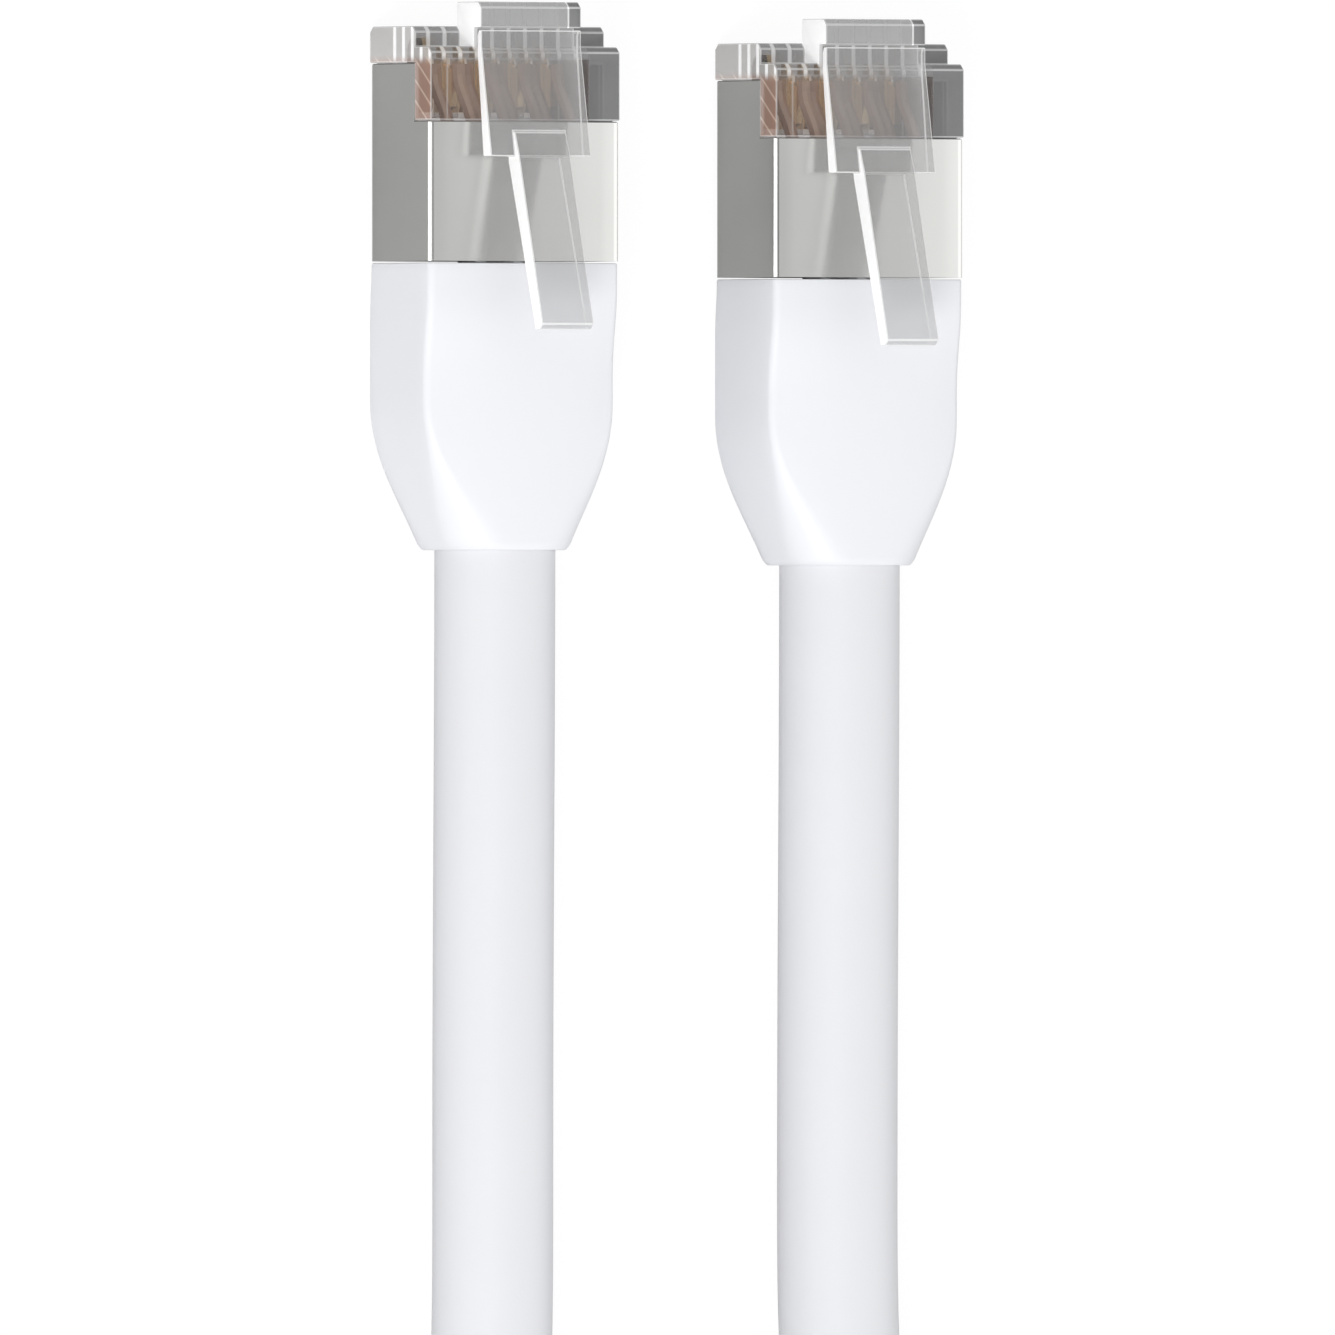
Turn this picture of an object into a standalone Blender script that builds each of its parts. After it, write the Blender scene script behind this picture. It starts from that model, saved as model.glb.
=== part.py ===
"""Ethernet patch cable: two shielded eight-contact modular plugs on the ends of one round cable.

Metres, +Z up. Both plugs lie on their contact side with their noses towards +Y and their latches up.
The origin is on the surface that they lie on, under the middle of the two plugs.
Each plug is modelled in its own frame: X across it, Z up from the shell's underside, and -Y back
from the tip of the nose. A station is a distance back from that tip.
"""

import math

import bmesh
import bpy

MM = 0.001

# ---- Driving dimensions -------------------------------------------------------------------------

# The pair of plugs as they lie
PLUG_SPACING = 21.4 * MM
PLUG_STAGGER = 0.8 * MM

# Cable
CABLE_DIAMETER = 6.5 * MM
TUBE_GAP = 0.3 * MM
LANDING_GAP = 1.3 * MM

# Shell of folded sheet
SHELL_WIDTH = 11.7 * MM
SHELL_HEIGHT = 6.6 * MM
SHEET = 0.25 * MM
SHELL_CORNER = 0.35 * MM
SHELL_FRONT = 3.3 * MM
WINDOW_BACK = 6.4 * MM
WINDOW_DEPTH = 1.8 * MM
CONTACT_WINDOW_BACK = 8.0 * MM
SHELL_LENGTH = 10.6 * MM
NECK_LENGTH = 2.5 * MM
SHELL_FIT = 0.05 * MM

# Clear housing
COMB_FRONT = 1.3 * MM
COMB_HEIGHT = 4.9 * MM
BODY_FRONT = 2.4 * MM
BODY_LENGTH = 10.4 * MM
EDGE = 0.3 * MM
CAVITY_FLOOR = 2.5 * MM
CAVITY_ROOF_WALL = 0.45 * MM
CAVITY_FRONT = 3.0 * MM
ROOT_WIDTH = 6.2 * MM
ROOT_HEIGHT = 7.2 * MM
ROOT_UNDERSIDE = 4.6 * MM
ROOT_LENGTH = 1.4 * MM

# Latch
HINGE_STATION = 1.95 * MM
HINGE_RISE = 0.25 * MM
LATCH_WIDTH = 6.2 * MM
LATCH_FRONT_GAP = 0.12 * MM
LATCH_LIFT = 0.2 * MM
SHOULDER_STATION = 8.3 * MM
SHOULDER_RISE = 0.84 * MM
PLATE_THIN = 0.4 * MM
PLATE_THICK = 0.86 * MM
LEVER_WIDTH = 3.2 * MM
LEVER_FRONT = 7.0 * MM
LEVER_TIP = 17.6 * MM
LEVER_TIP_RISE = 3.85 * MM
LEVER_THIN = 0.75 * MM
LEVER_THICK = 1.14 * MM

# Contacts, conductors and the guide that holds them
CONTACTS = 8
PITCH = 1.02 * MM
BLADE = 0.35 * MM
SLOT_CLEARANCE = 0.075 * MM
BLADE_FRONT = 1.9 * MM
BLADE_BACK = 5.9 * MM
BLADE_RECESS = 0.35 * MM
BLADE_NOSE = 0.6 * MM
CONTACT_GAP = 0.1 * MM
CONDUCTOR_DIAMETER = 0.7 * MM
ROW_STEP = 0.9 * MM
CONDUCTOR_FRONT = 3.3 * MM
CONDUCTOR_RISE = 1.55 * MM
CLIMB_FRONT = 3.9 * MM
CLIMB_BACK = 6.8 * MM
GUIDE_FRONT = 7.6 * MM
GUIDE_LENGTH = 3.0 * MM
GUIDE_FIT = 0.1 * MM
GUIDE_HOLE_CLEARANCE = 0.06 * MM
GUIDE_WALL = 0.3 * MM
BUNDLE_FRONT = 13.7 * MM
BUNDLE_CROWDING = 0.5
BUNDLE_LENGTH = 7.7 * MM
BUNDLE_COVERING = 1.25 * MM
BRAID_WALL = 0.2 * MM
FERRULE_WALL = 0.25 * MM
FERRULE_LENGTH = 3.7 * MM
SLEEVE_GAP = 0.1 * MM

# Boot
BOOT_GAP = 0.1 * MM
BOOT_LENGTH = 15.4 * MM
BOOT_PROUD = 0.02 * MM
BOOT_SKIN = 0.2 * MM
BOOT_WALL = 0.7 * MM
BOOT_TAPER = 7.8 * MM
BOOT_TAPER_POWER = 1.6
BOOT_REAR_WIDTH = 7.2 * MM
BOOT_CORNER = 0.35 * MM
BOOT_REAR_CORNER = 1.6 * MM
BOOT_RIM = 0.35 * MM
BORE_FIT = 0.05 * MM

# Hank: the put-away length, four turns folded round two ends and held by two ties
FOLD_CENTRE_Y = -104.0 * MM
HANK_RUN = 37.7 * MM
HANK_FOLD = 20.0 * MM
HANK_LIFT = 0.7 * MM
HANK_CHAMFER = 1.9 * MM
LEAD_BEND = 26.8 * MM
LEAD_BEND_Y = -96.0 * MM
LANDING_TURN = math.radians(45)
TIE_WIDTH = 10.0 * MM
TIE_THICKNESS = 0.5 * MM
TIE_GAP = 0.15 * MM

# Routes of the two leads in millimetres, from 7 mm behind each boot to the start of the hank's side
LEAD_A_ROUTE = [
    (-10.7, -22.0, 3.46), (-10.7, -30.0, 3.38), (-10.7, -38.0, 3.3),
    (-10.7, -46.0, 3.27), (-10.7, -53.0, 3.27), (-10.8, -59.0, 3.27), (-11.3, -64.0, 3.27),
    (-12.9, -69.0, 3.27), (-16.0, -74.0, 3.27), (-20.2, -79.0, 3.27), (-23.3, -84.0, 3.27),
    (-25.4, -89.0, 3.35), (-26.4, -94.0, 3.55), (-26.5, -99.0, 3.8), (-26.5, -104.0, 3.95),
]  # fmt: skip
LEAD_B_ROUTE = [
    (10.7, -23.0, 3.46), (10.7, -31.0, 3.38), (10.7, -39.0, 3.3),
    (10.7, -46.0, 3.27), (10.7, -53.0, 3.27), (10.8, -59.0, 3.4), (11.3, -64.0, 3.9),
    (12.9, -69.0, 4.8), (16.0, -74.0, 6.1), (20.2, -79.0, 7.6), (23.3, -84.0, 8.9),
    (25.4, -89.0, 9.8), (26.4, -94.0, 10.3), (26.5, -99.0, 10.45), (26.5, -104.0, 10.45),
]  # fmt: skip

# ---- Sizes worked out from the driving dimensions -----------------------------------------------

CABLE_RADIUS = CABLE_DIAMETER / 2
CONDUCTOR_RADIUS = CONDUCTOR_DIAMETER / 2
BUNDLE_DIAMETER = CABLE_DIAMETER - 2 * BUNDLE_COVERING
SHELL_HALF = SHELL_WIDTH / 2
INNER_HALF = SHELL_HALF - SHEET - SHELL_FIT
INNER_LOW = SHEET + SHELL_FIT
INNER_HIGH = SHELL_HEIGHT - SHEET - SHELL_FIT
WINDOW_SILL = SHELL_HEIGHT - WINDOW_DEPTH
SHELL_BACK = SHELL_FRONT + SHELL_LENGTH
BODY_BACK = BODY_FRONT + BODY_LENGTH
MID_HEIGHT = SHELL_HEIGHT / 2

BOOT_FRONT = SHELL_BACK + BOOT_GAP
BOOT_BACK = BOOT_FRONT + BOOT_LENGTH
BOOT_HALF = SHELL_HALF + BOOT_PROUD
BOOT_HALF_HEIGHT = max(SHELL_HEIGHT / 2 + BOOT_PROUD, CABLE_RADIUS + BORE_FIT + BOOT_SKIN)
BORE_RADIUS = CABLE_RADIUS + BORE_FIT
PLUG_RISE = BOOT_HALF_HEIGHT - MID_HEIGHT

CAVITY_HALF = (CONTACTS - 1) / 2 * PITCH + CONDUCTOR_RADIUS + 2 * GUIDE_FIT + GUIDE_WALL
CAVITY_ROOF = INNER_HIGH - CAVITY_ROOF_WALL
LOW_ROW = CAVITY_FLOOR + CONTACT_GAP + CONDUCTOR_RADIUS
HINGE_HEIGHT = SHELL_HEIGHT + HINGE_RISE

FOLD_OUTER = HANK_FOLD + CABLE_DIAMETER
HANK_OUTER = FOLD_OUTER + CABLE_RADIUS
HANK_INNER = HANK_FOLD - CABLE_RADIUS
HANK_TOP = HANK_LIFT + 2 * CABLE_DIAMETER
HANK_MIDDLE = (HANK_OUTER + HANK_INNER) / 2


class Plug:
    """One end of the cable: the suffix of its pieces' names and the place of its nose's tip."""

    def __init__(self, suffix, x, nose_y):
        self.suffix = suffix
        self.origin = (x, nose_y, PLUG_RISE)

    def name(self, piece):
        return f"{piece}_{self.suffix}"


# ---- Modelling tools ----------------------------------------------------------------------------


def clear_scene():
    """Remove every object of the scene."""
    for thing in list(bpy.data.objects):
        bpy.data.objects.remove(thing, do_unlink=True)


def material(name, colour, roughness, metallic=0.0, alpha=1.0):
    """A material of one Principled BSDF."""
    made = bpy.data.materials.new(name)
    made.use_nodes = True
    shader = made.node_tree.nodes["Principled BSDF"]
    shader.inputs["Base Color"].default_value = (*colour, 1.0)
    shader.inputs["Roughness"].default_value = roughness
    shader.inputs["Metallic"].default_value = metallic
    shader.inputs["Alpha"].default_value = alpha
    return made


def add_object(name, mesh, finish=None, place=(0.0, 0.0, 0.0)):
    """Put a mesh into the scene as a named object."""
    thing = bpy.data.objects.new(name, mesh)
    thing.location = place
    if finish:
        mesh.materials.append(finish)
    bpy.context.collection.objects.link(thing)
    return thing


def mesh_from(shape, name):
    """Turn a bmesh into a mesh whose faces point outwards."""
    bmesh.ops.recalc_face_normals(shape, faces=shape.faces)
    mesh = bpy.data.meshes.new(name)
    shape.to_mesh(mesh)
    shape.free()
    return mesh


def loft(rings, name, closed=False):
    """Skin rings of equal counts of points. Its ends are capped, or meet where it is closed."""
    shape = bmesh.new()
    lines = [[shape.verts.new(point) for point in ring] for ring in rings]
    pairs = list(zip(lines, lines[1:]))
    if closed:
        pairs.append((lines[-1], lines[0]))
    else:
        shape.faces.new(lines[0])
        shape.faces.new(lines[-1])
    for near, far in pairs:
        for i in range(len(near)):
            j = (i + 1) % len(near)
            shape.faces.new((near[i], near[j], far[j], far[i]))
    return mesh_from(shape, name)


def side_prism(profile, half_width, name, x=0.0):
    """Extrude a side profile of (station, height) points across the plug."""
    ends = [[(x + side * half_width, -s, z) for s, z in profile] for side in (-1, 1)]
    return loft(ends, name)


def box(x, stations, heights, name):
    """A block between two x values, two stations and two heights."""
    profile = [(stations[i], heights[j]) for i, j in ((0, 0), (1, 0), (1, 1), (0, 1))]
    return side_prism(profile, (x[1] - x[0]) / 2, name, (x[0] + x[1]) / 2)


def arc(centre, radius, start, end, steps):
    """Points of an arc, ends included."""
    angles = [start + (end - start) * i / steps for i in range(steps + 1)]
    return [(centre[0] + radius * math.cos(a), centre[1] + radius * math.sin(a)) for a in angles]


def rounded_rectangle(half_width, low, high, radius, steps=3):
    """The outline of a rectangle with round corners, as (x, z) points."""
    across, bottom, top = half_width - radius, low + radius, high - radius
    corners = [(across, bottom), (across, top), (-across, top), (-across, bottom)]
    quarter = math.pi / 2
    points = []
    for i, corner in enumerate(corners):
        points += arc(corner, radius, (i - 1) * quarter, i * quarter, steps)
    return points


def at_station(outline, station):
    """Stand an outline of (x, z) points upright at a station."""
    return [(x, -station, z) for x, z in outline]


def cylinder_mesh(radius, stations, name, height=MID_HEIGHT, sides=24):
    """A round bar along the plug."""
    outline = arc((0.0, height), radius, 0.0, 2 * math.pi, sides)[:-1]
    return loft([at_station(outline, s) for s in stations], name)


def sleeve_mesh(inner, outer, stations, name, sides=24):
    """A round tube along the plug."""
    rings = []
    for radius, station in (
        (outer, stations[0]),
        (outer, stations[1]),
        (inner, stations[1]),
        (inner, stations[0]),
    ):
        outline = arc((0.0, MID_HEIGHT), radius, 0.0, 2 * math.pi, sides)[:-1]
        rings.append(at_station(outline, station))
    return loft(rings, name, closed=True)


def change(thing, operation, mesh):
    """Cut a mesh away from an object, or join it on, with a Boolean."""
    tool = add_object(f"tool_{thing.name}_{len(thing.modifiers)}", mesh, place=thing.location)
    tool.hide_render = True
    tool.display_type = "WIRE"
    modifier = thing.modifiers.new(operation.lower(), "BOOLEAN")
    modifier.operation = operation
    modifier.solver = "EXACT"
    modifier.object = tool


def shade_round(thing, angle=math.radians(35)):
    """Shade a round piece smooth and keep its sharp edges."""
    thing.data.shade_smooth()
    thing.data.set_sharp_from_angle(angle=angle)


def smooth_step(t):
    """Ease from 0 to 1."""
    t = min(max(t, 0.0), 1.0)
    return t * t * (3 - 2 * t)


def tube_object(name, points, radius, finish, roundness, place=(0.0, 0.0, 0.0)):
    """A round tube along a line of points."""
    curve = bpy.data.curves.new(name, "CURVE")
    curve.dimensions = "3D"
    curve.bevel_depth = radius
    curve.bevel_resolution = roundness
    curve.render_resolution_u = 0
    curve.use_fill_caps = True
    spline = curve.splines.new("POLY")
    spline.points.add(len(points) - 1)
    for target, point in zip(spline.points, points):
        target.co = (*point, 1.0)
    curve.materials.append(finish)
    thing = bpy.data.objects.new(name, curve)
    thing.location = place
    bpy.context.collection.objects.link(thing)
    return thing


# ---- Pieces of one plug -------------------------------------------------------------------------


def slot_xs():
    """The x of each contact, from the first to the last."""
    return [(i - (CONTACTS - 1) / 2) * PITCH for i in range(CONTACTS)]


def row_height(index):
    """The height of a conductor's front end. Odd and even conductors lie in two rows."""
    return LOW_ROW + ROW_STEP * (index % 2)


def build_housing(plug, finish):
    """Clear body: stepped nose, comb of contact slots, wire cavity, and the latch's root block."""
    flank = [
        (COMB_FRONT + EDGE, 0.0),
        (COMB_FRONT, EDGE),
        (COMB_FRONT, COMB_HEIGHT - EDGE),
        (COMB_FRONT + EDGE, COMB_HEIGHT),
        (BODY_FRONT, COMB_HEIGHT),
        (BODY_FRONT, SHELL_HEIGHT - EDGE),
        (BODY_FRONT + EDGE, SHELL_HEIGHT),
        (WINDOW_BACK - SHELL_FIT, SHELL_HEIGHT),
        (WINDOW_BACK - SHELL_FIT, WINDOW_SILL + SHELL_FIT),
        (SHELL_FRONT - SHELL_FIT, WINDOW_SILL + SHELL_FIT),
        (SHELL_FRONT - SHELL_FIT, 0.0),
    ]
    housing = add_object(
        plug.name("plug_housing"), side_prism(flank, SHELL_HALF, "housing"), finish, plug.origin
    )
    core_front = (COMB_FRONT + BODY_FRONT) / 2
    core_low = box(
        (-INNER_HALF, INNER_HALF), (core_front, BODY_BACK), (INNER_LOW, COMB_HEIGHT - EDGE), "core"
    )
    core_high = box(
        (-INNER_HALF, INNER_HALF), (BODY_FRONT + EDGE, BODY_BACK), (MID_HEIGHT, INNER_HIGH), "core"
    )
    change(housing, "UNION", core_low)
    change(housing, "UNION", core_high)

    pad_half = slot_xs()[-1] + PITCH
    pad_back = CONTACT_WINDOW_BACK - SHELL_FIT
    pad = box((-pad_half, pad_half), (core_front, pad_back), (0.0, CAVITY_FLOOR / 2), "contact_pad")
    change(housing, "UNION", pad)

    neck_top = SHELL_HEIGHT - EDGE / 2
    root = [
        (0.0, ROOT_UNDERSIDE),
        (0.0, ROOT_HEIGHT - EDGE),
        (EDGE, ROOT_HEIGHT),
        (ROOT_LENGTH, ROOT_HEIGHT),
        (ROOT_LENGTH, neck_top),
        (BODY_FRONT + EDGE, neck_top),
        (BODY_FRONT + EDGE, ROOT_UNDERSIDE),
    ]
    change(housing, "UNION", side_prism(root, ROOT_WIDTH / 2, "root"))

    cavity = box(
        (-CAVITY_HALF, CAVITY_HALF),
        (CAVITY_FRONT, BODY_BACK + EDGE),
        (CAVITY_FLOOR, CAVITY_ROOF),
        "cavity",
    )
    change(housing, "DIFFERENCE", cavity)

    slot_half = BLADE / 2 + SLOT_CLEARANCE
    slot_back = BLADE_BACK + EDGE
    slot_front_top = COMB_HEIGHT - 2 * EDGE
    slot = [
        (COMB_FRONT - EDGE, -EDGE),
        (slot_back, -EDGE),
        (slot_back, CAVITY_FLOOR + EDGE),
        (BODY_FRONT, CAVITY_FLOOR + EDGE),
        (BODY_FRONT, slot_front_top),
        (COMB_FRONT - EDGE, slot_front_top),
    ]
    for x in slot_xs():
        change(housing, "DIFFERENCE", side_prism(slot, slot_half, "slot", x))
    return housing


def build_shell(plug, finish):
    """Plated shell: one folded tube, stepped down to a neck that goes into the boot."""
    neck_half = BOOT_HALF - BOOT_WALL - BOOT_GAP
    neck_low = MID_HEIGHT - BOOT_HALF_HEIGHT + BOOT_WALL + BOOT_GAP
    neck_high = 2 * MID_HEIGHT - neck_low
    neck_back = SHELL_BACK + NECK_LENGTH

    def ring(half, low, high, inset, station):
        corner = max(SHELL_CORNER - inset, EDGE / 3)
        outline = rounded_rectangle(half - inset, low + inset, high - inset, corner)
        return at_station(outline, station)

    full = (SHELL_HALF, 0.0, SHELL_HEIGHT)
    neck = (neck_half, neck_low, neck_high)
    rings = [
        ring(*full, 0.0, SHELL_FRONT),
        ring(*full, 0.0, SHELL_BACK),
        ring(*neck, 0.0, SHELL_BACK),
        ring(*neck, 0.0, neck_back),
        ring(*neck, SHEET, neck_back),
        ring(*neck, SHEET, SHELL_BACK - SHEET),
        ring(*full, SHEET, SHELL_BACK - SHEET),
        ring(*full, SHEET, SHELL_FRONT),
    ]
    shell = add_object(
        plug.name("shield_shell"), loft(rings, "shell", closed=True), finish, plug.origin
    )
    wide = SHELL_HALF + EDGE
    front = SHELL_FRONT - EDGE
    window = box(
        (-wide, wide), (front, WINDOW_BACK), (WINDOW_SILL, SHELL_HEIGHT + EDGE), "window"
    )
    change(shell, "DIFFERENCE", window)
    opening_half = slot_xs()[-1] + PITCH + SHELL_FIT
    opening = box(
        (-opening_half, opening_half), (front, CONTACT_WINDOW_BACK), (-EDGE, 2 * SHEET), "opening"
    )
    change(shell, "DIFFERENCE", opening)
    shade_round(shell)
    return shell


def build_latch(plug, finish):
    """Clear latch, with its origin on the line that it bends about."""
    underside = SHELL_HEIGHT + LATCH_LIFT
    front = ROOT_LENGTH + LATCH_FRONT_GAP
    tail = SHELL_HEIGHT + SHOULDER_RISE
    plate = [
        (front, underside + PLATE_THIN / 3),
        (front, underside + PLATE_THIN),
        (BODY_FRONT, underside + PLATE_THIN),
        (SHOULDER_STATION, tail + PLATE_THICK),
        (SHOULDER_STATION, tail),
        (BODY_FRONT + EDGE, underside),
        (front + EDGE, underside),
    ]
    rise = SHELL_HEIGHT + LEVER_TIP_RISE
    sunk = PLATE_THIN / 4
    lever = [
        (LEVER_FRONT - EDGE, tail),
        (LEVER_FRONT, tail + PLATE_THICK - sunk),
        (SHOULDER_STATION, tail + sunk + LEVER_THICK),
        (LEVER_TIP - EDGE, rise + LEVER_THIN),
        (LEVER_TIP, rise + LEVER_THIN - EDGE),
        (LEVER_TIP, rise),
        (SHOULDER_STATION + EDGE, tail + sunk),
    ]
    shift = (HINGE_STATION, HINGE_HEIGHT)
    plate, lever = (
        [(s - shift[0], z - shift[1]) for s, z in profile] for profile in (plate, lever)
    )
    x, y, z = plug.origin
    hinge = (x, y - HINGE_STATION, z + HINGE_HEIGHT)
    latch = add_object(
        plug.name("latch"), side_prism(plate, LATCH_WIDTH / 2, "latch"), finish, hinge
    )
    change(latch, "UNION", side_prism(lever, LEVER_WIDTH / 2, "lever"))
    return latch


def build_contacts(plug, finish):
    """Eight blades, each under its own conductor."""
    for index, x in enumerate(slot_xs()):
        top = row_height(index) - CONDUCTOR_RADIUS - CONTACT_GAP
        blade = [
            (BLADE_FRONT + BLADE_NOSE, BLADE_RECESS),
            (BLADE_FRONT + BLADE_NOSE / 3, BLADE_RECESS + BLADE_NOSE / 3),
            (BLADE_FRONT, BLADE_RECESS + BLADE_NOSE),
            (BLADE_FRONT, CAVITY_FLOOR - BLADE_NOSE),
            (CAVITY_FRONT + EDGE, CAVITY_FLOOR - CONTACT_GAP),
            (CAVITY_FRONT + 2 * EDGE, top),
            (BLADE_BACK - EDGE, top),
            (BLADE_BACK, CAVITY_FLOOR - CONTACT_GAP),
            (BLADE_BACK, BLADE_RECESS),
        ]
        mesh = side_prism(blade, BLADE / 2, "blade", x)
        add_object(plug.name(f"contact_{index + 1}"), mesh, finish, plug.origin)


def conductor_place(index, station):
    """The middle of a conductor at a station: it climbs, runs through the guide, and joins the rest."""
    x = slot_xs()[index]
    low = row_height(index)
    high = low + CONDUCTOR_RISE
    guide_back = GUIDE_FRONT + GUIDE_LENGTH
    end = BUNDLE_FRONT - TUBE_GAP
    climb = smooth_step((station - CLIMB_FRONT) / (CLIMB_BACK - CLIMB_FRONT))
    gather = smooth_step((station - guide_back) / (end - guide_back))
    gathered = MID_HEIGHT + ROW_STEP * (index % 2 - 0.5)
    z = low + (high - low) * climb
    return (x * (1 - (1 - BUNDLE_CROWDING) * gather), -station, z + (gathered - z) * gather)


def build_conductors(plug, finish):
    """Eight round conductors, from the blades to the bundle."""
    end = BUNDLE_FRONT - TUBE_GAP
    steps = 16
    stations = [CONDUCTOR_FRONT + (end - CONDUCTOR_FRONT) * i / steps for i in range(steps + 1)]
    for index in range(CONTACTS):
        line = [conductor_place(index, station) for station in stations]
        name = plug.name(f"conductor_{index + 1}")
        tube_object(name, line, CONDUCTOR_RADIUS, finish, 2, plug.origin)


def build_guide(plug, finish):
    """Load bar: a small block with a hole for each conductor."""
    low = LOW_ROW + CONDUCTOR_RISE - CONDUCTOR_RADIUS - GUIDE_WALL
    high = CAVITY_ROOF - GUIDE_FIT
    half = CAVITY_HALF - GUIDE_FIT
    stations = (GUIDE_FRONT, GUIDE_FRONT + GUIDE_LENGTH)
    guide = add_object(
        plug.name("wire_guide"), box((-half, half), stations, (low, high), "guide"), finish, plug.origin
    )
    past = (stations[0] - EDGE, stations[1] + EDGE)
    for index, x in enumerate(slot_xs()):
        radius = CONDUCTOR_RADIUS + GUIDE_HOLE_CLEARANCE
        height = row_height(index) + CONDUCTOR_RISE
        outline = arc((x, height), radius, 0.0, 2 * math.pi, 12)[:-1]
        change(guide, "DIFFERENCE", loft([at_station(outline, s) for s in past], "hole"))


def build_crimp(plug, wrap, screen, metal, jacket):
    """The cable's own end inside the boot: wrapped bundle, braid, ferrule and jacket."""
    bundle_back = BUNDLE_FRONT + BUNDLE_LENGTH
    bundle = cylinder_mesh(BUNDLE_DIAMETER / 2, (BUNDLE_FRONT, bundle_back), "bundle")
    pieces = [("wire_bundle", bundle, wrap)]
    braid_inner = BUNDLE_DIAMETER / 2 + SLEEVE_GAP
    braid_outer = braid_inner + BRAID_WALL
    braid = sleeve_mesh(
        braid_inner, braid_outer, (BUNDLE_FRONT + 2 * EDGE, bundle_back - EDGE), "braid"
    )
    pieces.append(("braid", braid, screen))
    ferrule_inner = braid_outer + SLEEVE_GAP
    ferrule_front = SHELL_BACK + NECK_LENGTH + EDGE
    ferrule = sleeve_mesh(
        ferrule_inner,
        ferrule_inner + FERRULE_WALL,
        (ferrule_front, ferrule_front + FERRULE_LENGTH),
        "ferrule",
    )
    pieces.append(("crimp_ferrule", ferrule, metal))
    end = cylinder_mesh(CABLE_RADIUS, (bundle_back + TUBE_GAP, BOOT_BACK), "jacket")
    pieces.append(("jacket_end", end, jacket))
    for name, mesh, finish in pieces:
        shade_round(add_object(plug.name(name), mesh, finish, plug.origin))


def boot_half_width(station):
    """Half the boot's width: full, then narrowing ever faster towards its rear."""
    start = BOOT_BACK - BOOT_TAPER
    t = max(0.0, (station - start) / BOOT_TAPER)
    rear = BOOT_REAR_WIDTH / 2
    return rear + (BOOT_HALF - rear) * (1 - t**BOOT_TAPER_POWER)


def boot_corner(station):
    """The boot's corner radius: crisp at the front and rounder along the taper."""
    t = smooth_step((station - BOOT_BACK + BOOT_TAPER) / BOOT_TAPER)
    return BOOT_CORNER + (BOOT_REAR_CORNER - BOOT_CORNER) * t


def build_boot(plug, finish):
    """White moulded boot: a tapered body with a pocket for the shell's neck and a bore for the cable."""
    start = BOOT_BACK - BOOT_TAPER
    steps = 7
    stations = [BOOT_FRONT] + [start + BOOT_TAPER * i / steps for i in range(steps)]
    low, high = MID_HEIGHT - BOOT_HALF_HEIGHT, MID_HEIGHT + BOOT_HALF_HEIGHT
    rings = []
    for s in (*stations, BOOT_BACK - BOOT_RIM):
        outline = rounded_rectangle(boot_half_width(s), low, high, boot_corner(s), 4)
        rings.append(at_station(outline, s))
    rim = BOOT_SKIN / 2
    rear = rounded_rectangle(
        boot_half_width(BOOT_BACK) - rim, low + rim, high - rim, boot_corner(BOOT_BACK) - rim, 4
    )
    rings.append(at_station(rear, BOOT_BACK))
    boot = add_object(plug.name("boot"), loft(rings, "boot"), finish, plug.origin)

    pocket_half = BOOT_HALF - BOOT_WALL
    pocket = rounded_rectangle(pocket_half, low + BOOT_WALL, high - BOOT_WALL, BOOT_CORNER)
    pocket_back = SHELL_BACK + NECK_LENGTH + EDGE
    ends = [at_station(pocket, s) for s in (BOOT_FRONT - EDGE, pocket_back)]
    change(boot, "DIFFERENCE", loft(ends, "pocket"))
    bore = cylinder_mesh(BORE_RADIUS, (pocket_back - EDGE, BOOT_BACK + EDGE), "bore", sides=32)
    change(boot, "DIFFERENCE", bore)
    shade_round(boot)
    return boot


# ---- The cable between the plugs ----------------------------------------------------------------


def through(route, steps=12):
    """A smooth line through the points: each span is a cubic that leaves along its neighbours' chord."""
    padded = [route[0], *route, route[-1]]
    line = []
    for i in range(len(route) - 1):
        before, start, end, after = padded[i : i + 4]
        for k in range(steps):
            t = k / steps
            line.append(
                tuple(
                    0.5
                    * (
                        2 * b
                        + (c - a) * t
                        + (2 * a - 5 * b + 4 * c - d) * t * t
                        + (3 * b - a - 3 * c + d) * t**3
                    )
                    for a, b, c, d in zip(before, start, end, after)
                )
            )
    line.append(route[-1])
    return line


def landing(side):
    """The middle of the flat face where a lead goes into the hank."""
    centre_x = FOLD_OUTER - LEAD_BEND
    x = side * (centre_x + LEAD_BEND * math.cos(LANDING_TURN))
    return x, LEAD_BEND_Y + LEAD_BEND * math.sin(LANDING_TURN)


def spaced(line, spacing):
    """Points at even steps along a line of points, no further apart than the spacing."""
    lengths = [math.dist(p, q) for p, q in zip(line, line[1:])]
    count = math.ceil(sum(lengths) / spacing)
    step = sum(lengths) / count
    points = [line[0]]
    walked = 0.0
    for length, point in zip(lengths, line[1:]):
        walked += length
        if walked >= step * len(points) and len(points) < count:
            points.append(point)
    return [*points, line[-1]]


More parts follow.
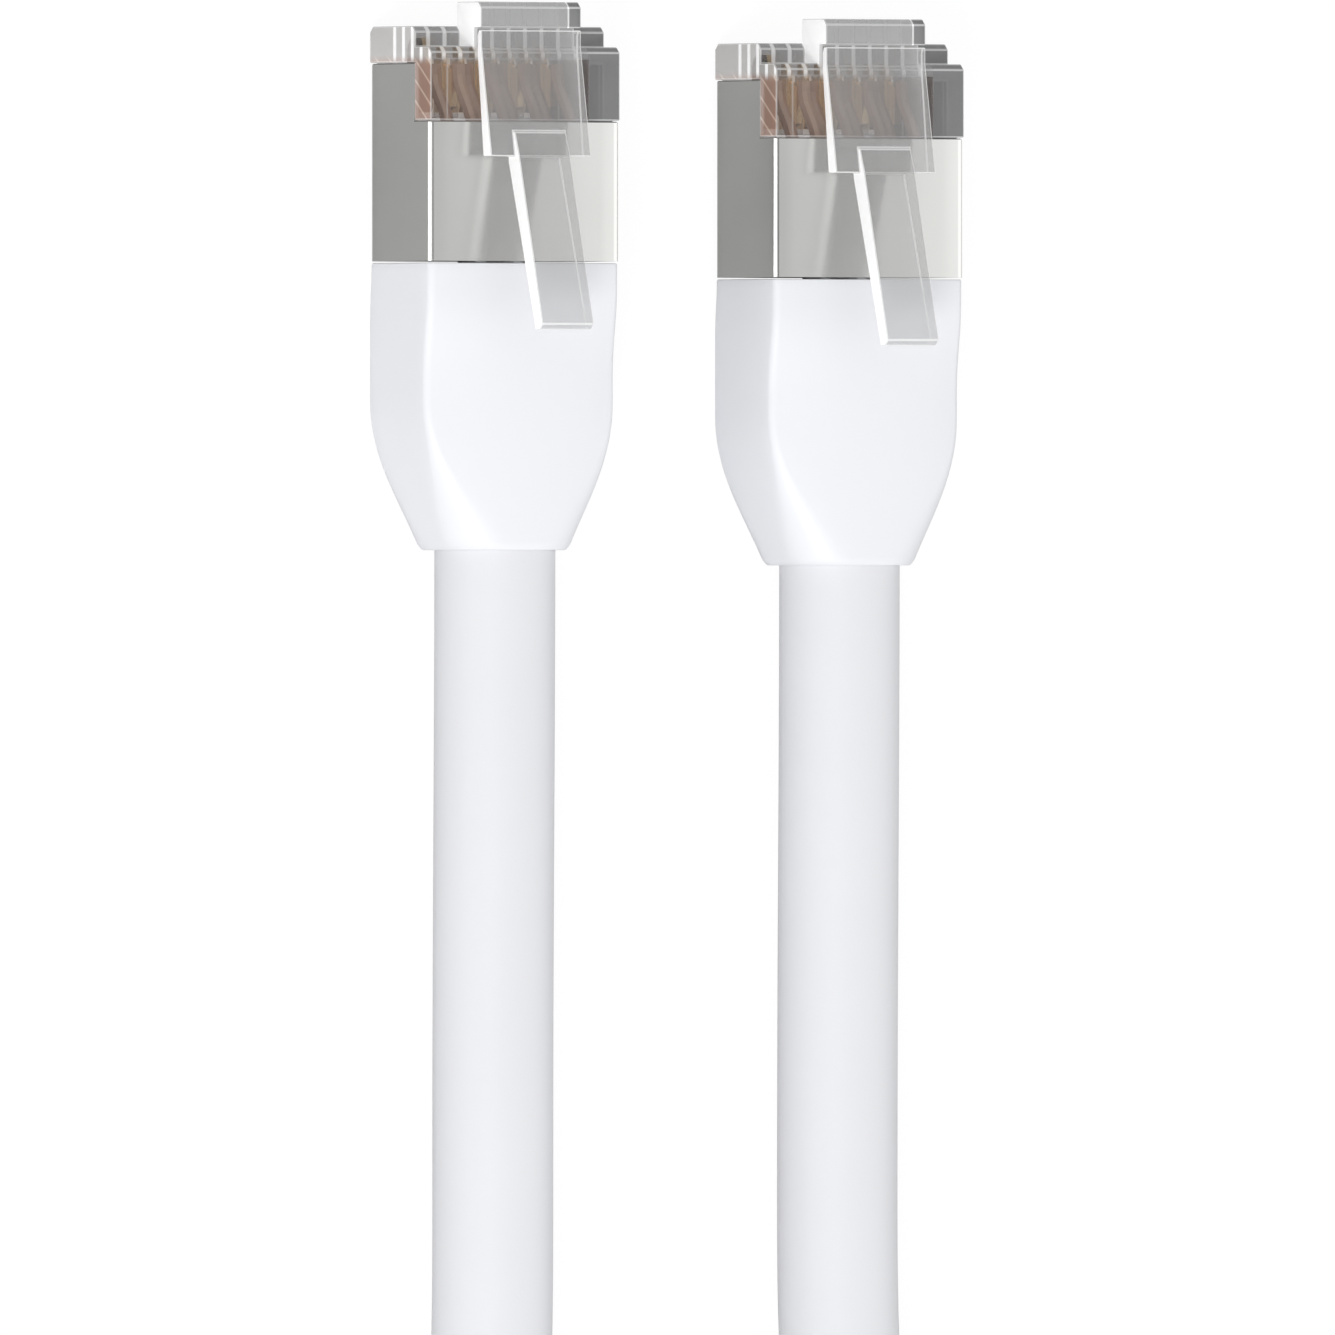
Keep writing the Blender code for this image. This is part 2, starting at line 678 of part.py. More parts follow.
def build_lead(plug, route, side, finish):
    """The un-coiled stretch of the cable, from a boot to its landing on the hank."""
    plug_x, nose_y, rise = plug.origin
    start = (plug_x, nose_y - BOOT_BACK - TUBE_GAP, rise + MID_HEIGHT)
    route = [start] + [tuple(value * MM for value in point) for point in route]
    face_x, face_y = landing(side)
    out_x, out_y = -side * math.sin(LANDING_TURN), math.cos(LANDING_TURN)

    def height_over_face(point):
        return (point[0] - face_x) * out_x + (point[1] - face_y) * out_y

    line = [point for point in through(route) if height_over_face(point) > LANDING_GAP]
    tube_object(plug.name("lead"), spaced(line, 2 * CABLE_DIAMETER), CABLE_RADIUS, finish, 3)


def hank_outline(inset):
    """The hank from above: straight sides, round folds, and a flat landing for each lead."""
    bend_x = FOLD_OUTER - LEAD_BEND
    bend_outer = LEAD_BEND + CABLE_RADIUS - inset
    outer = HANK_OUTER - inset
    far_y = FOLD_CENTRE_Y - HANK_RUN
    turn = LANDING_TURN
    x, y = landing(1)
    inner_x = x - CABLE_RADIUS * math.cos(turn)
    inner_y = y - CABLE_RADIUS * math.sin(turn)
    crown = math.atan2(inner_y - FOLD_CENTRE_Y, inner_x)
    points = arc((bend_x, LEAD_BEND_Y), bend_outer, 0.0, turn, 6)
    points += arc((0.0, FOLD_CENTRE_Y), outer, crown, math.pi - crown, 10)
    points += arc((-bend_x, LEAD_BEND_Y), bend_outer, math.pi - turn, math.pi, 6)
    points += arc((0.0, far_y), outer, math.pi, 2 * math.pi, 20)
    return points


def build_hank(finish):
    """The put-away length as one solid: an extruded outline with round ends, open in the middle."""
    levels = [
        (HANK_CHAMFER, HANK_LIFT),
        (0.0, HANK_LIFT + HANK_CHAMFER),
        (0.0, HANK_TOP - HANK_CHAMFER),
        (HANK_CHAMFER, HANK_TOP),
    ]
    rings = [[(x, y, z) for x, y in hank_outline(inset)] for inset, z in levels]
    hank = add_object("hank", loft(rings, "hank"), finish)

    def hole(radius):
        far_y = FOLD_CENTRE_Y - HANK_RUN
        points = arc((0.0, FOLD_CENTRE_Y), radius, 0.0, math.pi, 16)
        return points + arc((0.0, far_y), radius, math.pi, 2 * math.pi, 16)

    widths = [
        (HANK_INNER + 2 * HANK_CHAMFER, HANK_LIFT - HANK_CHAMFER),
        (HANK_INNER, HANK_LIFT + HANK_CHAMFER),
        (HANK_INNER, HANK_TOP - HANK_CHAMFER),
        (HANK_INNER + 2 * HANK_CHAMFER, HANK_TOP + HANK_CHAMFER),
    ]
    rings = [[(x, y, z) for x, y in hole(radius)] for radius, z in widths]
    change(hank, "DIFFERENCE", loft(rings, "hank_hole"))
    shade_round(hank)


def tie_outline(offset):
    """A chamfered rectangle round one side of the hank, this far outside it."""
    half = CABLE_DIAMETER + offset
    corner = HANK_CHAMFER + offset * (2 - math.sqrt(2))
    middle = (HANK_LIFT + HANK_TOP) / 2
    cut = half - corner
    points = [
        (half, -cut), (half, cut), (cut, half), (-cut, half),
        (-half, cut), (-half, -cut), (-cut, -half), (cut, -half),
    ]  # fmt: skip
    return [(HANK_MIDDLE + x, middle + z) for x, z in points]


def build_tie(name, side, finish):
    """A flat tie round one side of the hank."""
    middle = FOLD_CENTRE_Y - HANK_RUN / 2
    near, far = middle + TIE_WIDTH / 2, middle - TIE_WIDTH / 2
    inner, outer = tie_outline(TIE_GAP), tie_outline(TIE_GAP + TIE_THICKNESS)
    rings = [
        [(side * x, y, z) for x, z in outline]
        for outline, y in ((outer, near), (outer, far), (inner, far), (inner, near))
    ]
    add_object(name, loft(rings, name, closed=True), finish)


# ---- Assembly -----------------------------------------------------------------------------------


def build_plug(plug, finishes):
    """All pieces of one end."""
    build_housing(plug, finishes["clear"])
    build_latch(plug, finishes["clear"])
    build_shell(plug, finishes["plate"])
    build_contacts(plug, finishes["gold"])
    build_conductors(plug, finishes["copper"])
    build_guide(plug, finishes["clear"])
    build_crimp(plug, finishes["foil"], finishes["braid"], finishes["plate"], finishes["jacket"])
    build_boot(plug, finishes["boot"])


clear_scene()
FINISHES = {
    "clear": material("clear_plastic", (0.86, 0.87, 0.88), 0.08, alpha=0.35),
    "plate": material("nickel_plate", (0.60, 0.60, 0.58), 0.28, 1.0),
    "gold": material("gold_plate", (0.83, 0.62, 0.30), 0.25, 1.0),
    "copper": material("copper", (0.62, 0.38, 0.26), 0.3, 1.0),
    "foil": material("foil_wrap", (0.75, 0.76, 0.78), 0.35, 1.0),
    "braid": material("tinned_braid", (0.66, 0.66, 0.66), 0.45, 1.0),
    "jacket": material("white_jacket", (0.88, 0.89, 0.91), 0.42),
    "boot": material("white_boot", (0.90, 0.91, 0.94), 0.38),
    "tie": material("white_tie", (0.85, 0.85, 0.86), 0.6),
}
MID_STAGGER = (BOOT_BACK + PLUG_STAGGER) / 2
PLUG_A = Plug("a", -PLUG_SPACING / 2, MID_STAGGER)
PLUG_B = Plug("b", PLUG_SPACING / 2, MID_STAGGER - PLUG_STAGGER)
build_plug(PLUG_A, FINISHES)
build_plug(PLUG_B, FINISHES)
build_lead(PLUG_A, LEAD_A_ROUTE, -1, FINISHES["jacket"])
build_lead(PLUG_B, LEAD_B_ROUTE, 1, FINISHES["jacket"])
build_hank(FINISHES["jacket"])
build_tie("tie_left", -1, FINISHES["tie"])
build_tie("tie_right", 1, FINISHES["tie"])
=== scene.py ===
"""Ethernet patch cable: the looks of two clear shielded plugs, their boots and a folded cable."""

import math

import bmesh
import bpy
import numpy as np
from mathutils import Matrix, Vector


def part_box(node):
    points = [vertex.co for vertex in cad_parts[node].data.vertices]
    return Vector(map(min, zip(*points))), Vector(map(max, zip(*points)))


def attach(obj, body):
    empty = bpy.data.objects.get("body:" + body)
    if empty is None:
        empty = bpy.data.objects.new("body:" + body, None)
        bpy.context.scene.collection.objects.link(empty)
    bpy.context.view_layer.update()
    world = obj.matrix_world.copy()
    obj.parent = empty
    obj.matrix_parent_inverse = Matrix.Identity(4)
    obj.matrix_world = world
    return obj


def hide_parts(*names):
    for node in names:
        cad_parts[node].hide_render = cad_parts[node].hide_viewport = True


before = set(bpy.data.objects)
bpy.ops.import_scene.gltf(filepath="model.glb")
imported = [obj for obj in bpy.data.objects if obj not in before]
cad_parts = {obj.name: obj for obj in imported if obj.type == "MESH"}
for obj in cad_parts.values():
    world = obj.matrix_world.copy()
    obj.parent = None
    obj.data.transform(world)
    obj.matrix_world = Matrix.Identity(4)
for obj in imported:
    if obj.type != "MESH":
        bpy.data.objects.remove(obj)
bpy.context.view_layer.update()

MM = 0.001
WHITE = (1.0, 1.0, 1.0)
BLACK = (0.0, 0.0, 0.0)
SHARP_ANGLE = math.radians(40)

# ---- Camera -------------------------------------------------------------------------------------
# A long lens looks down on the two latches from 30 degrees to their left, square to the cable.
# The bottom of its frame crosses both leads, so it sees the plugs and no more of the cable.

FRAME_WIDTH = 71.8 * MM
CAMERA_DISTANCE = 3000 * MM
CAMERA_TURN = math.radians(-30)
SEEN_MIDDLE = (0.0, -20.6 * MM, 3.5 * MM)
FARTHEST_SEEN = 10.0

camera_data = bpy.data.cameras.new("camera")
camera_data.lens = camera_data.sensor_width * CAMERA_DISTANCE / FRAME_WIDTH
camera_data.clip_end = FARTHEST_SEEN
camera = bpy.data.objects.new("camera", camera_data)
camera.location = (
    SEEN_MIDDLE[0] + CAMERA_DISTANCE * math.sin(CAMERA_TURN),
    SEEN_MIDDLE[1],
    SEEN_MIDDLE[2] + CAMERA_DISTANCE * math.cos(CAMERA_TURN),
)
camera.rotation_euler = (0.0, CAMERA_TURN, 0.0)
bpy.context.collection.objects.link(camera)
bpy.context.scene.camera = camera
bpy.context.scene.view_settings.view_transform = "Standard"

# ---- Round cable --------------------------------------------------------------------------------
# One length of screened twisted-pair cable in a white PVC jacket, extruded with a satin skin.
# It runs straight out of both boots, and its middle is folded four times into a tied hank.

CABLE_DIAMETER = 6.5 * MM
CABLE_SIDES = 40
CABLE_STEP = 1.6 * MM
FOLD_CENTRE_Y = -104.0 * MM
HANK_RUN = 37.7 * MM
HANK_TURNS = 4
SHIFT_START = math.radians(30)
TOP_SHIFT_END = math.radians(130)
BUNDLE_FOLD = 23.25 * MM
BUNDLE_HEIGHT = 7.2 * MM
CABLE_INTO_BOOT = 1.0 * MM
JACKET_SHADES = (0.82, 0.826, 0.855), (0.86, 0.866, 0.89)
LEAD_A_ROUTE = [
    (-10.7, -14.6, 3.5), (-10.7, -22.0, 3.46), (-10.7, -30.0, 3.38), (-10.7, -38.0, 3.3),
    (-10.7, -46.0, 3.27), (-10.7, -53.0, 3.27), (-10.8, -59.0, 3.27), (-11.3, -64.0, 3.27),
    (-12.9, -69.0, 3.27), (-16.0, -74.0, 3.27), (-20.2, -79.0, 3.27), (-23.3, -84.0, 3.27),
    (-25.4, -89.0, 3.35), (-26.4, -94.0, 3.55), (-26.5, -99.0, 3.8), (-26.5, -104.0, 3.95),
]  # fmt: skip
LEAD_B_ROUTE = [
    (10.7, -15.4, 3.5), (10.7, -23.0, 3.46), (10.7, -31.0, 3.38), (10.7, -39.0, 3.3),
    (10.7, -46.0, 3.27), (10.7, -53.0, 3.27), (10.8, -59.0, 3.4), (11.3, -64.0, 3.9),
    (12.9, -69.0, 4.8), (16.0, -74.0, 6.1), (20.2, -79.0, 7.6), (23.3, -84.0, 8.9),
    (25.4, -89.0, 9.8), (26.4, -94.0, 10.3), (26.5, -99.0, 10.45), (26.5, -104.0, 10.45),
]  # fmt: skip


def ease(t):
    """Ease from 0 to 1, level at both ends: 3t^2 - 2t^3."""
    t = np.clip(t, 0.0, 1.0)
    return t * t * (3 - 2 * t)


def through(points, steps=10):
    """A smooth line through points: each span is a cubic along its neighbours' chords."""
    p = np.array(points)
    padded = np.vstack([p[:1], p, p[-1:]])
    a, b, c, d = (padded[i : i + len(p) - 1, None] for i in range(4))
    t = (np.arange(steps) / steps)[None, :, None]
    curve = b + 0.5 * t * (c - a + t * (2 * a - 5 * b + 4 * c - d + t * (3 * b - a - 3 * c + d)))
    return np.vstack([curve.reshape(-1, 3), p[-1:]])


def roll_over(turn, angle):
    """Where a turn lies in its bundle of four, out from and above the middle, along the far fold.

    The turn inside shifts in under the next one, which climbs over it on a quarter circle, while
    the turn on top moves out: so each takes the next one's place without crossing it.
    """
    d = CABLE_DIAMETER / 2
    shift = ease((angle - SHIFT_START) / (math.pi - SHIFT_START))
    low = d - 2 * d * shift
    swing = math.pi - math.pi / 2 * shift
    if turn == 0:
        return low, np.full_like(angle, -d)
    if turn == 1:
        return low + 2 * d * np.cos(swing), -d + 2 * d * np.sin(swing)
    return -d + 2 * d * ease(angle / TOP_SHIFT_END), np.full_like(angle, d)


def hank_line():
    """The folded length: down the left, round the near fold, up the right, round the far fold."""
    d = CABLE_DIAMETER / 2
    places = [(d, -d), (-d, -d), (-d, d), (d, d)]
    near_y = FOLD_CENTRE_Y - HANK_RUN
    run = np.linspace(FOLD_CENTRE_Y, near_y, 20)[1:]
    half_turn = np.linspace(0.0, math.pi, 40)[1:]
    line = []
    for turn, (out, up) in enumerate(places):
        radius, z = BUNDLE_FOLD + out, BUNDLE_HEIGHT + up
        line.append(np.stack([np.full_like(run, -radius), run, np.full_like(run, z)], 1))
        fold = math.pi + half_turn
        x, y = radius * np.cos(fold), near_y + radius * np.sin(fold)
        line.append(np.stack([x, y, np.full_like(x, z)], 1))
        back = run[::-1]
        line.append(np.stack([np.full_like(back, radius), back, np.full_like(back, z)], 1))
        if turn < HANK_TURNS - 1:
            out, up = roll_over(turn, half_turn)
            radius = BUNDLE_FOLD + out
            x, y = radius * np.cos(half_turn), FOLD_CENTRE_Y + radius * np.sin(half_turn)
            line.append(np.stack([x, y, BUNDLE_HEIGHT + up], 1))
    return np.vstack(line)


def evenly(line, step):
    """The same line with its points at even steps."""
    walked = np.concatenate([[0.0], np.cumsum(np.linalg.norm(np.diff(line, axis=0), axis=1))])
    at = np.linspace(0.0, walked[-1], int(walked[-1] / step) + 1)
    return np.stack([np.interp(at, walked, line[:, k]) for k in range(3)], 1)


def softened(line, passes):
    """The line with each point drawn to the middle of its neighbours, its ends kept."""
    for _ in range(passes):
        line[1:-1] = (line[:-2] + 2 * line[1:-1] + line[2:]) / 4
    return line


def skin(name, grid, finish, along=False, uv=None):
    """A surface on a grid of points, ring by ring: closed along its length too, or capped."""
    rows, columns = grid.shape[:2]
    index = np.arange(rows * columns).reshape(rows, columns)
    if along:
        index = np.vstack([index, index[:1]])
    index = np.hstack([index, index[:, :1]])
    faces = np.stack([index[:-1, :-1], index[:-1, 1:], index[1:, 1:], index[1:, :-1]], -1)
    faces = faces.reshape(-1, 4).tolist()
    if not along:
        faces += [index[0, -2::-1].tolist(), index[-1, :-1].tolist()]
    mesh = bpy.data.meshes.new(name)
    mesh.from_pydata(grid.reshape(-1, 3), [], faces)
    if uv is not None:
        layer = mesh.uv_layers.new(name="surface")
        corners = np.zeros(len(mesh.loops), np.int32)
        mesh.loops.foreach_get("vertex_index", corners)
        layer.data.foreach_set("uv", uv.reshape(-1, 2)[corners].ravel())
    return show(name, mesh, finish)


def show(name, mesh, finish):
    """Put a mesh into the scene, smooth but for its sharp edges, faces outwards."""
    shape = bmesh.new()
    shape.from_mesh(mesh)
    bmesh.ops.recalc_face_normals(shape, faces=shape.faces)
    shape.to_mesh(mesh)
    shape.free()
    mesh.shade_smooth()
    mesh.set_sharp_from_angle(angle=SHARP_ANGLE)
    mesh.materials.append(finish)
    piece = bpy.data.objects.new(name, mesh)
    bpy.context.collection.objects.link(piece)
    return piece


def along_line(line, outline):
    """Carry an outline of (right, up) points along a line, upright, and square to it."""
    ahead = np.gradient(line, axis=0)
    ahead /= np.linalg.norm(ahead, axis=1, keepdims=True)
    right = np.cross(ahead, (0.0, 0.0, 1.0))
    right /= np.linalg.norm(right, axis=1, keepdims=True)
    up = np.cross(right, ahead)
    return (
        line[:, None]
        + outline[None, :, :1] * right[:, None]
        + outline[None, :, 1:] * up[:, None]
    )


def circle(radius, sides):
    """Points round a circle."""
    angle = np.arange(sides) * 2 * math.pi / sides
    return radius * np.stack([np.cos(angle), np.sin(angle)], 1)


class Wire:
    """An output of a shader node. Python's arithmetic on it adds Math nodes."""

    def __init__(self, graph, socket):
        self.graph = graph
        self.socket = socket

    def __add__(self, other):
        return self.graph.math("ADD", self, other)

    def __sub__(self, other):
        return self.graph.math("SUBTRACT", self, other)

    def __rsub__(self, other):
        return self.graph.math("SUBTRACT", other, self)

    def __mul__(self, other):
        return self.graph.math("MULTIPLY", self, other)

    __radd__ = __add__
    __rmul__ = __mul__


class Graph:
    """A node tree, filled a node at a time."""

    def __init__(self, tree):
        self.tree = tree

    def node(self, kind, settings=None, inputs=None, output=0):
        """Add a node: its settings are set first, then its inputs are set or linked."""
        made = self.tree.nodes.new(kind)
        for key, value in (settings or {}).items():
            setattr(made, key, value)
        for key, value in (inputs or {}).items():
            if isinstance(value, Wire):
                self.tree.links.new(value.socket, made.inputs[key])
            else:
                made.inputs[key].default_value = value
        return Wire(self, made.outputs[output])

    def math(self, operation, first, second=0.0):
        """One Math node."""
        return self.node("ShaderNodeMath", {"operation": operation}, {0: first, 1: second})

    def mix(self, amount, first, second):
        """A colour between two, each a colour or a wire, by an amount from 0 to 1."""
        first, second = (end if isinstance(end, Wire) else (*end, 1.0) for end in (first, second))
        sockets = {0: amount, 6: first, 7: second}
        return self.node("ShaderNodeMix", {"data_type": "RGBA"}, sockets, output=2)

    def part(self, place, axis):
        """One part of a vector: X, Y or Z."""
        return self.node("ShaderNodeSeparateXYZ", None, {0: place}, axis)

    def waves(self, value, pitch):
        """Waves between -1 and 1 as a value grows, one in each pitch."""
        return self.math("SINE", value * (math.tau / pitch))

    def smooth(self, value, low, high):
        """Ease from 0 to 1 as a value goes from low to high."""
        return self.node(
            "ShaderNodeMapRange",
            {"interpolation_type": "SMOOTHSTEP"},
            {"Value": value, "From Min": low, "From Max": high},
        )


class Finish(Graph):
    """A material round one Principled BSDF, whose constants are set on its own sockets."""

    def __init__(self, name, constants):
        self.material = bpy.data.materials.new(name)
        self.material.use_nodes = True
        super().__init__(self.material.node_tree)
        self.shader = self.tree.nodes["Principled BSDF"]
        for socket, value in constants.items():
            self.shader.inputs[socket].default_value = value

    def noise(self, scale, stretch=(1.0, 1.0, 1.0), detail=2.0):
        """A noise on the object's own coordinates, between 0 and 1."""
        place = self.node("ShaderNodeTexCoord", output="Object")
        place = self.node("ShaderNodeMapping", None, {"Vector": place, "Scale": stretch})
        return self.node(
            "ShaderNodeTexNoise", None, {"Vector": place, "Scale": scale, "Detail": detail}
        )

    def feed(self, socket, wire):
        """Feed one of the shader's sockets."""
        self.tree.links.new(wire.socket, self.shader.inputs[socket])

    def colours(self, amount, dark, light):
        """Base colour between two, by an amount from 0 to 1."""
        self.feed("Base Color", self.mix(amount, dark, light))

    def bump(self, height, strength, distance):
        """Raise the surface by a height from 0 to 1 times a distance."""
        made = self.node(
            "ShaderNodeBump", None, {"Strength": strength, "Distance": distance, "Height": height}
        )
        self.feed("Normal", made)


def jacket_finish():
    """White PVC: a fine satin grain and soft handling marks."""
    finish = Finish("white_jacket", {"Specular IOR Level": 0.45})
    marks = finish.noise(90.0, detail=4.0)
    grain = finish.noise(5200.0, detail=3.0)
    finish.colours(marks, *JACKET_SHADES)
    finish.feed("Roughness", 0.38 + 0.1 * marks + 0.05 * grain)
    finish.bump(grain, 0.25, 0.00002)
    return finish.material


jacket = jacket_finish()
line = np.vstack([
    through(np.array(LEAD_A_ROUTE) * MM),
    hank_line(),
    through(np.array(LEAD_B_ROUTE) * MM)[::-1],
])
keep = np.concatenate([[True], np.linalg.norm(np.diff(line, axis=0), axis=1) > 1e-6])
cable_line = softened(evenly(line[keep], CABLE_STEP), 6)
cable_line[[0, -1], 1] += CABLE_INTO_BOOT
cable = skin("cable", along_line(cable_line, circle(CABLE_DIAMETER / 2, CABLE_SIDES)), jacket)
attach(cable, "root")
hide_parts("lead_a", "lead_b", "hank")

# ---- Ties ---------------------------------------------------------------------------------------
# Two woven hook-and-loop straps, each pulled once round one side of the hank and pressed onto
# itself. Each is drawn as a closed band, without the free end that lies on top.

TIE_THICKNESS = 0.5 * MM
TIE_WIDTH = 10.0 * MM
TIE_GAP = 0.12 * MM
TIE_SHADES = (0.62, 0.62, 0.64), (0.84, 0.84, 0.85)
RIBS_ROUND = 60.0
RIBS_PER_MM = 2.0


def tie_finish():
    """Woven white strap: crossing ribs of yarn with a fine nap."""
    finish = Finish("white_tie", {"Roughness": 0.85, "Sheen Weight": 0.3})
    place = finish.node("ShaderNodeTexCoord", output="UV")
    rows, columns = (
        finish.node("ShaderNodeTexWave", {"bands_direction": way}, {"Vector": place, "Scale": 1.0})
        for way in "XY"
    )
    nap = finish.noise(2600.0, detail=3.0)
    weave = rows * columns
    finish.colours(0.6 * weave + 0.4 * nap, *TIE_SHADES)
    finish.bump(weave + 0.5 * nap, 0.6, 0.0001)
    return finish.material


def strap_outline(offset, steps=8):
    """A round-cornered square about the four cables of one side, this far outside them."""
    reach = CABLE_DIAMETER
    corner = CABLE_DIAMETER / 2 + offset
    flat = reach + offset - corner
    angle = np.linspace(0.0, math.pi / 2, steps)
    ring = []
    for quarter, (x, z) in enumerate([(flat, flat), (-flat, flat), (-flat, -flat), (flat, -flat)]):
        turned = angle + quarter * math.pi / 2
        ring.append(np.stack([x + corner * np.cos(turned), z + corner * np.sin(turned)], 1))
    return np.vstack(ring)


def make_tie(node, side, finish):
    """A strap whose thickness is rounded at its two edges."""
    middle_y = FOLD_CENTRE_Y - HANK_RUN / 2
    half = TIE_WIDTH / 2
    thin = TIE_THICKNESS / 2
    edge = np.linspace(-math.pi / 2, math.pi / 2, 7)
    round_edge = half - thin + thin * np.cos(edge)
    across = np.concatenate([round_edge, -round_edge])
    lift = thin + thin * np.concatenate([np.sin(edge), -np.sin(edge)])
    rings = []
    for y, height in zip(across, lift):
        outline = strap_outline(TIE_GAP + height)
        x = side * (BUNDLE_FOLD + outline[:, 0])
        rings.append(np.stack([x, np.full(len(x), middle_y + y), BUNDLE_HEIGHT + outline[:, 1]], 1))
    grid = np.array(rings)
    u = np.linspace(0.0, RIBS_ROUND, grid.shape[1])
    v = (grid[:, 0, 1] - middle_y) / MM * RIBS_PER_MM
    uv = np.stack(np.meshgrid(u, v), -1)
    tie = skin(f"strap_{node}", grid, finish, along=True, uv=uv)
    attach(tie, "root")
    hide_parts(node)
    return tie


strap = tie_finish()
ties = [make_tie("tie_left", -1, strap), make_tie("tie_right", 1, strap)]

# ---- Boots --------------------------------------------------------------------------------------
# Soft white moulded PVC, pushed over the back of each shell: square and flush at the front,
# drawn in to the cable's width at the rear.


def plug_frame(end):
    """The middle x, the nose's y and the shell's underside z of one plug."""
    low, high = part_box(f"plug_housing_{end}")
    shell_low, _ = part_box(f"shield_shell_{end}")
    return np.array([(low.x + high.x) / 2, high.y, shell_low.z])


BOOT_FRONT = 14.0 * MM
BOOT_BACK = 29.4 * MM
BOOT_TAPER = 7.8 * MM
BOOT_HALF = 5.87 * MM
BOOT_REAR_HALF = 3.6 * MM
BOOT_HALF_HEIGHT = 3.5 * MM
SHELL_MIDDLE = 3.3 * MM
TOP_CROWN = 0.1 * MM
BOOT_CROWN = 0.8 * MM
BOOT_CROWN_LENGTH = 6.0 * MM
BOOT_SWELL_LENGTH = 3.0 * MM
BOOT_PROUD = 0.02 * MM
BOOT_CORNER = 0.38 * MM
BOOT_REAR_CORNER = 2.28 * MM
BOOT_RIM = 0.45 * MM
POCKET_WALL = 0.6 * MM
POCKET_DEPTH = 1.6 * MM
BORE_GAP = 0.04 * MM
BORE_DEPTH = 1.2 * MM
BOOT_SHADES = (0.92, 0.93, 0.97), (0.95, 0.96, 0.99)


def rounded_box(half_width, half_height, corner, side_steps=9, corner_steps=7):
    """The outline of a round-cornered rectangle about the middle, as (x, z) points."""
    quarter = math.pi / 2
    turn = np.linspace(0.0, quarter, corner_steps)
    wide, high = half_width - corner, half_height - corner
    slide = np.linspace(-1.0, 1.0, side_steps)[1:-1]
    parts = []
    for k, (cx, cz) in enumerate([(wide, high), (-wide, high), (-wide, -high), (wide, -high)]):
        angle = turn + k * quarter
        parts.append(np.stack([cx + corner * np.cos(angle), cz + corner * np.sin(angle)], 1))
        if k % 2 == 0:
            x, z = -slide * wide * (1 - k), np.full_like(slide, half_height * (1 - k))
        else:
            x, z = np.full_like(slide, -half_width * (2 - k)), -slide * high * (2 - k)
        parts.append(np.stack([x, z], 1))
    return np.vstack(parts)


def boot_ring(station, shrink=0.0):
    """The boot's outline at a station: it narrows by a power law and its corners open up.

    The top is crowned: the upper half is let down by the square of the distance from the middle.
    """
    start = BOOT_BACK - BOOT_TAPER
    t = max(0.0, (station - start) / BOOT_TAPER)
    half = BOOT_REAR_HALF + (BOOT_HALF - BOOT_REAR_HALF) * (1 - t**1.6)
    swell = float(ease((station - BOOT_FRONT) / BOOT_SWELL_LENGTH))
    front_height = SHELL_MIDDLE + BOOT_PROUD
    half_height = front_height + (BOOT_HALF_HEIGHT - front_height) * swell
    corner = BOOT_CORNER + (BOOT_REAR_CORNER - BOOT_CORNER) * float(ease(t)) ** 1.5
    ring = rounded_box(half - shrink, half_height - shrink, max(corner - shrink, 0.1 * MM))
    crown = float(ease((station - BOOT_FRONT) / BOOT_CROWN_LENGTH))
    crown = TOP_CROWN + (BOOT_CROWN - TOP_CROWN) * crown
    crown = crown * (1 - 0.5 * t) * (ring[:, 0] / half) ** 2
    ring[:, 1] -= crown * np.clip(ring[:, 1] / half_height, 0.0, 1.0)
    return ring


def boot_grid():
    """Rings from the front face, over the rear rim, and back down the bore to a closed end."""
    pocket = rounded_box(BOOT_HALF - POCKET_WALL, SHELL_MIDDLE - 0.55 * MM, 0.3 * MM)
    rows = [
        (BOOT_FRONT + POCKET_DEPTH, pocket),
        (BOOT_FRONT, pocket),
        (BOOT_FRONT, boot_ring(BOOT_FRONT, 0.08 * MM)),
        (BOOT_FRONT + 0.03 * MM, boot_ring(BOOT_FRONT, 0.02 * MM)),
        (BOOT_FRONT + 0.09 * MM, boot_ring(BOOT_FRONT)),
    ]
    for s in np.linspace(BOOT_FRONT + 0.5 * MM, BOOT_BACK - BOOT_RIM, 34):
        rows.append((s, boot_ring(s)))
    for angle in np.linspace(0.0, math.pi / 2, 7)[1:]:
        s = BOOT_BACK - BOOT_RIM + BOOT_RIM * math.sin(angle)
        rows.append((s, boot_ring(s, BOOT_RIM * (1 - math.cos(angle)) * 0.5)))
    end = rows[-1][1]
    turn = np.arctan2(end[:, 1], end[:, 0])
    bore = (CABLE_DIAMETER / 2 + BORE_GAP) * np.stack([np.cos(turn), np.sin(turn)], 1)
    rows.append((BOOT_BACK, bore))
    rows.append((BOOT_BACK - BORE_DEPTH, bore))
    return rows


def boot_finish():
    """Moulded soft PVC: satin, with the fine spark-eroded grain of its mould."""
    finish = Finish("white_boot", {"Specular IOR Level": 0.5})
    mottle_and_painted_light = finish.noise(120.0, detail=3.0)
    grain = finish.noise(7000.0, detail=2.0)
    finish.colours(mottle_and_painted_light, *BOOT_SHADES)
    finish.feed("Roughness", 0.4 + 0.1 * mottle_and_painted_light)
    finish.bump(grain, 0.2, 0.00002)
    return finish.material


boot_plastic = boot_finish()


def make_boot(end):
    """One boot, set behind its plug."""
    x, nose, low = plug_frame(end)
    rows = boot_grid()
    grid = np.array([
        np.stack([x + ring[:, 0], np.full(len(ring), nose - s), low + SHELL_MIDDLE + ring[:, 1]], 1)
        for s, ring in rows
    ])
    boot = skin(f"strain_relief_{end}", grid, boot_plastic)
    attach(boot, "root")
    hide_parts(f"boot_{end}")


for end in "ab":
    make_boot(end)

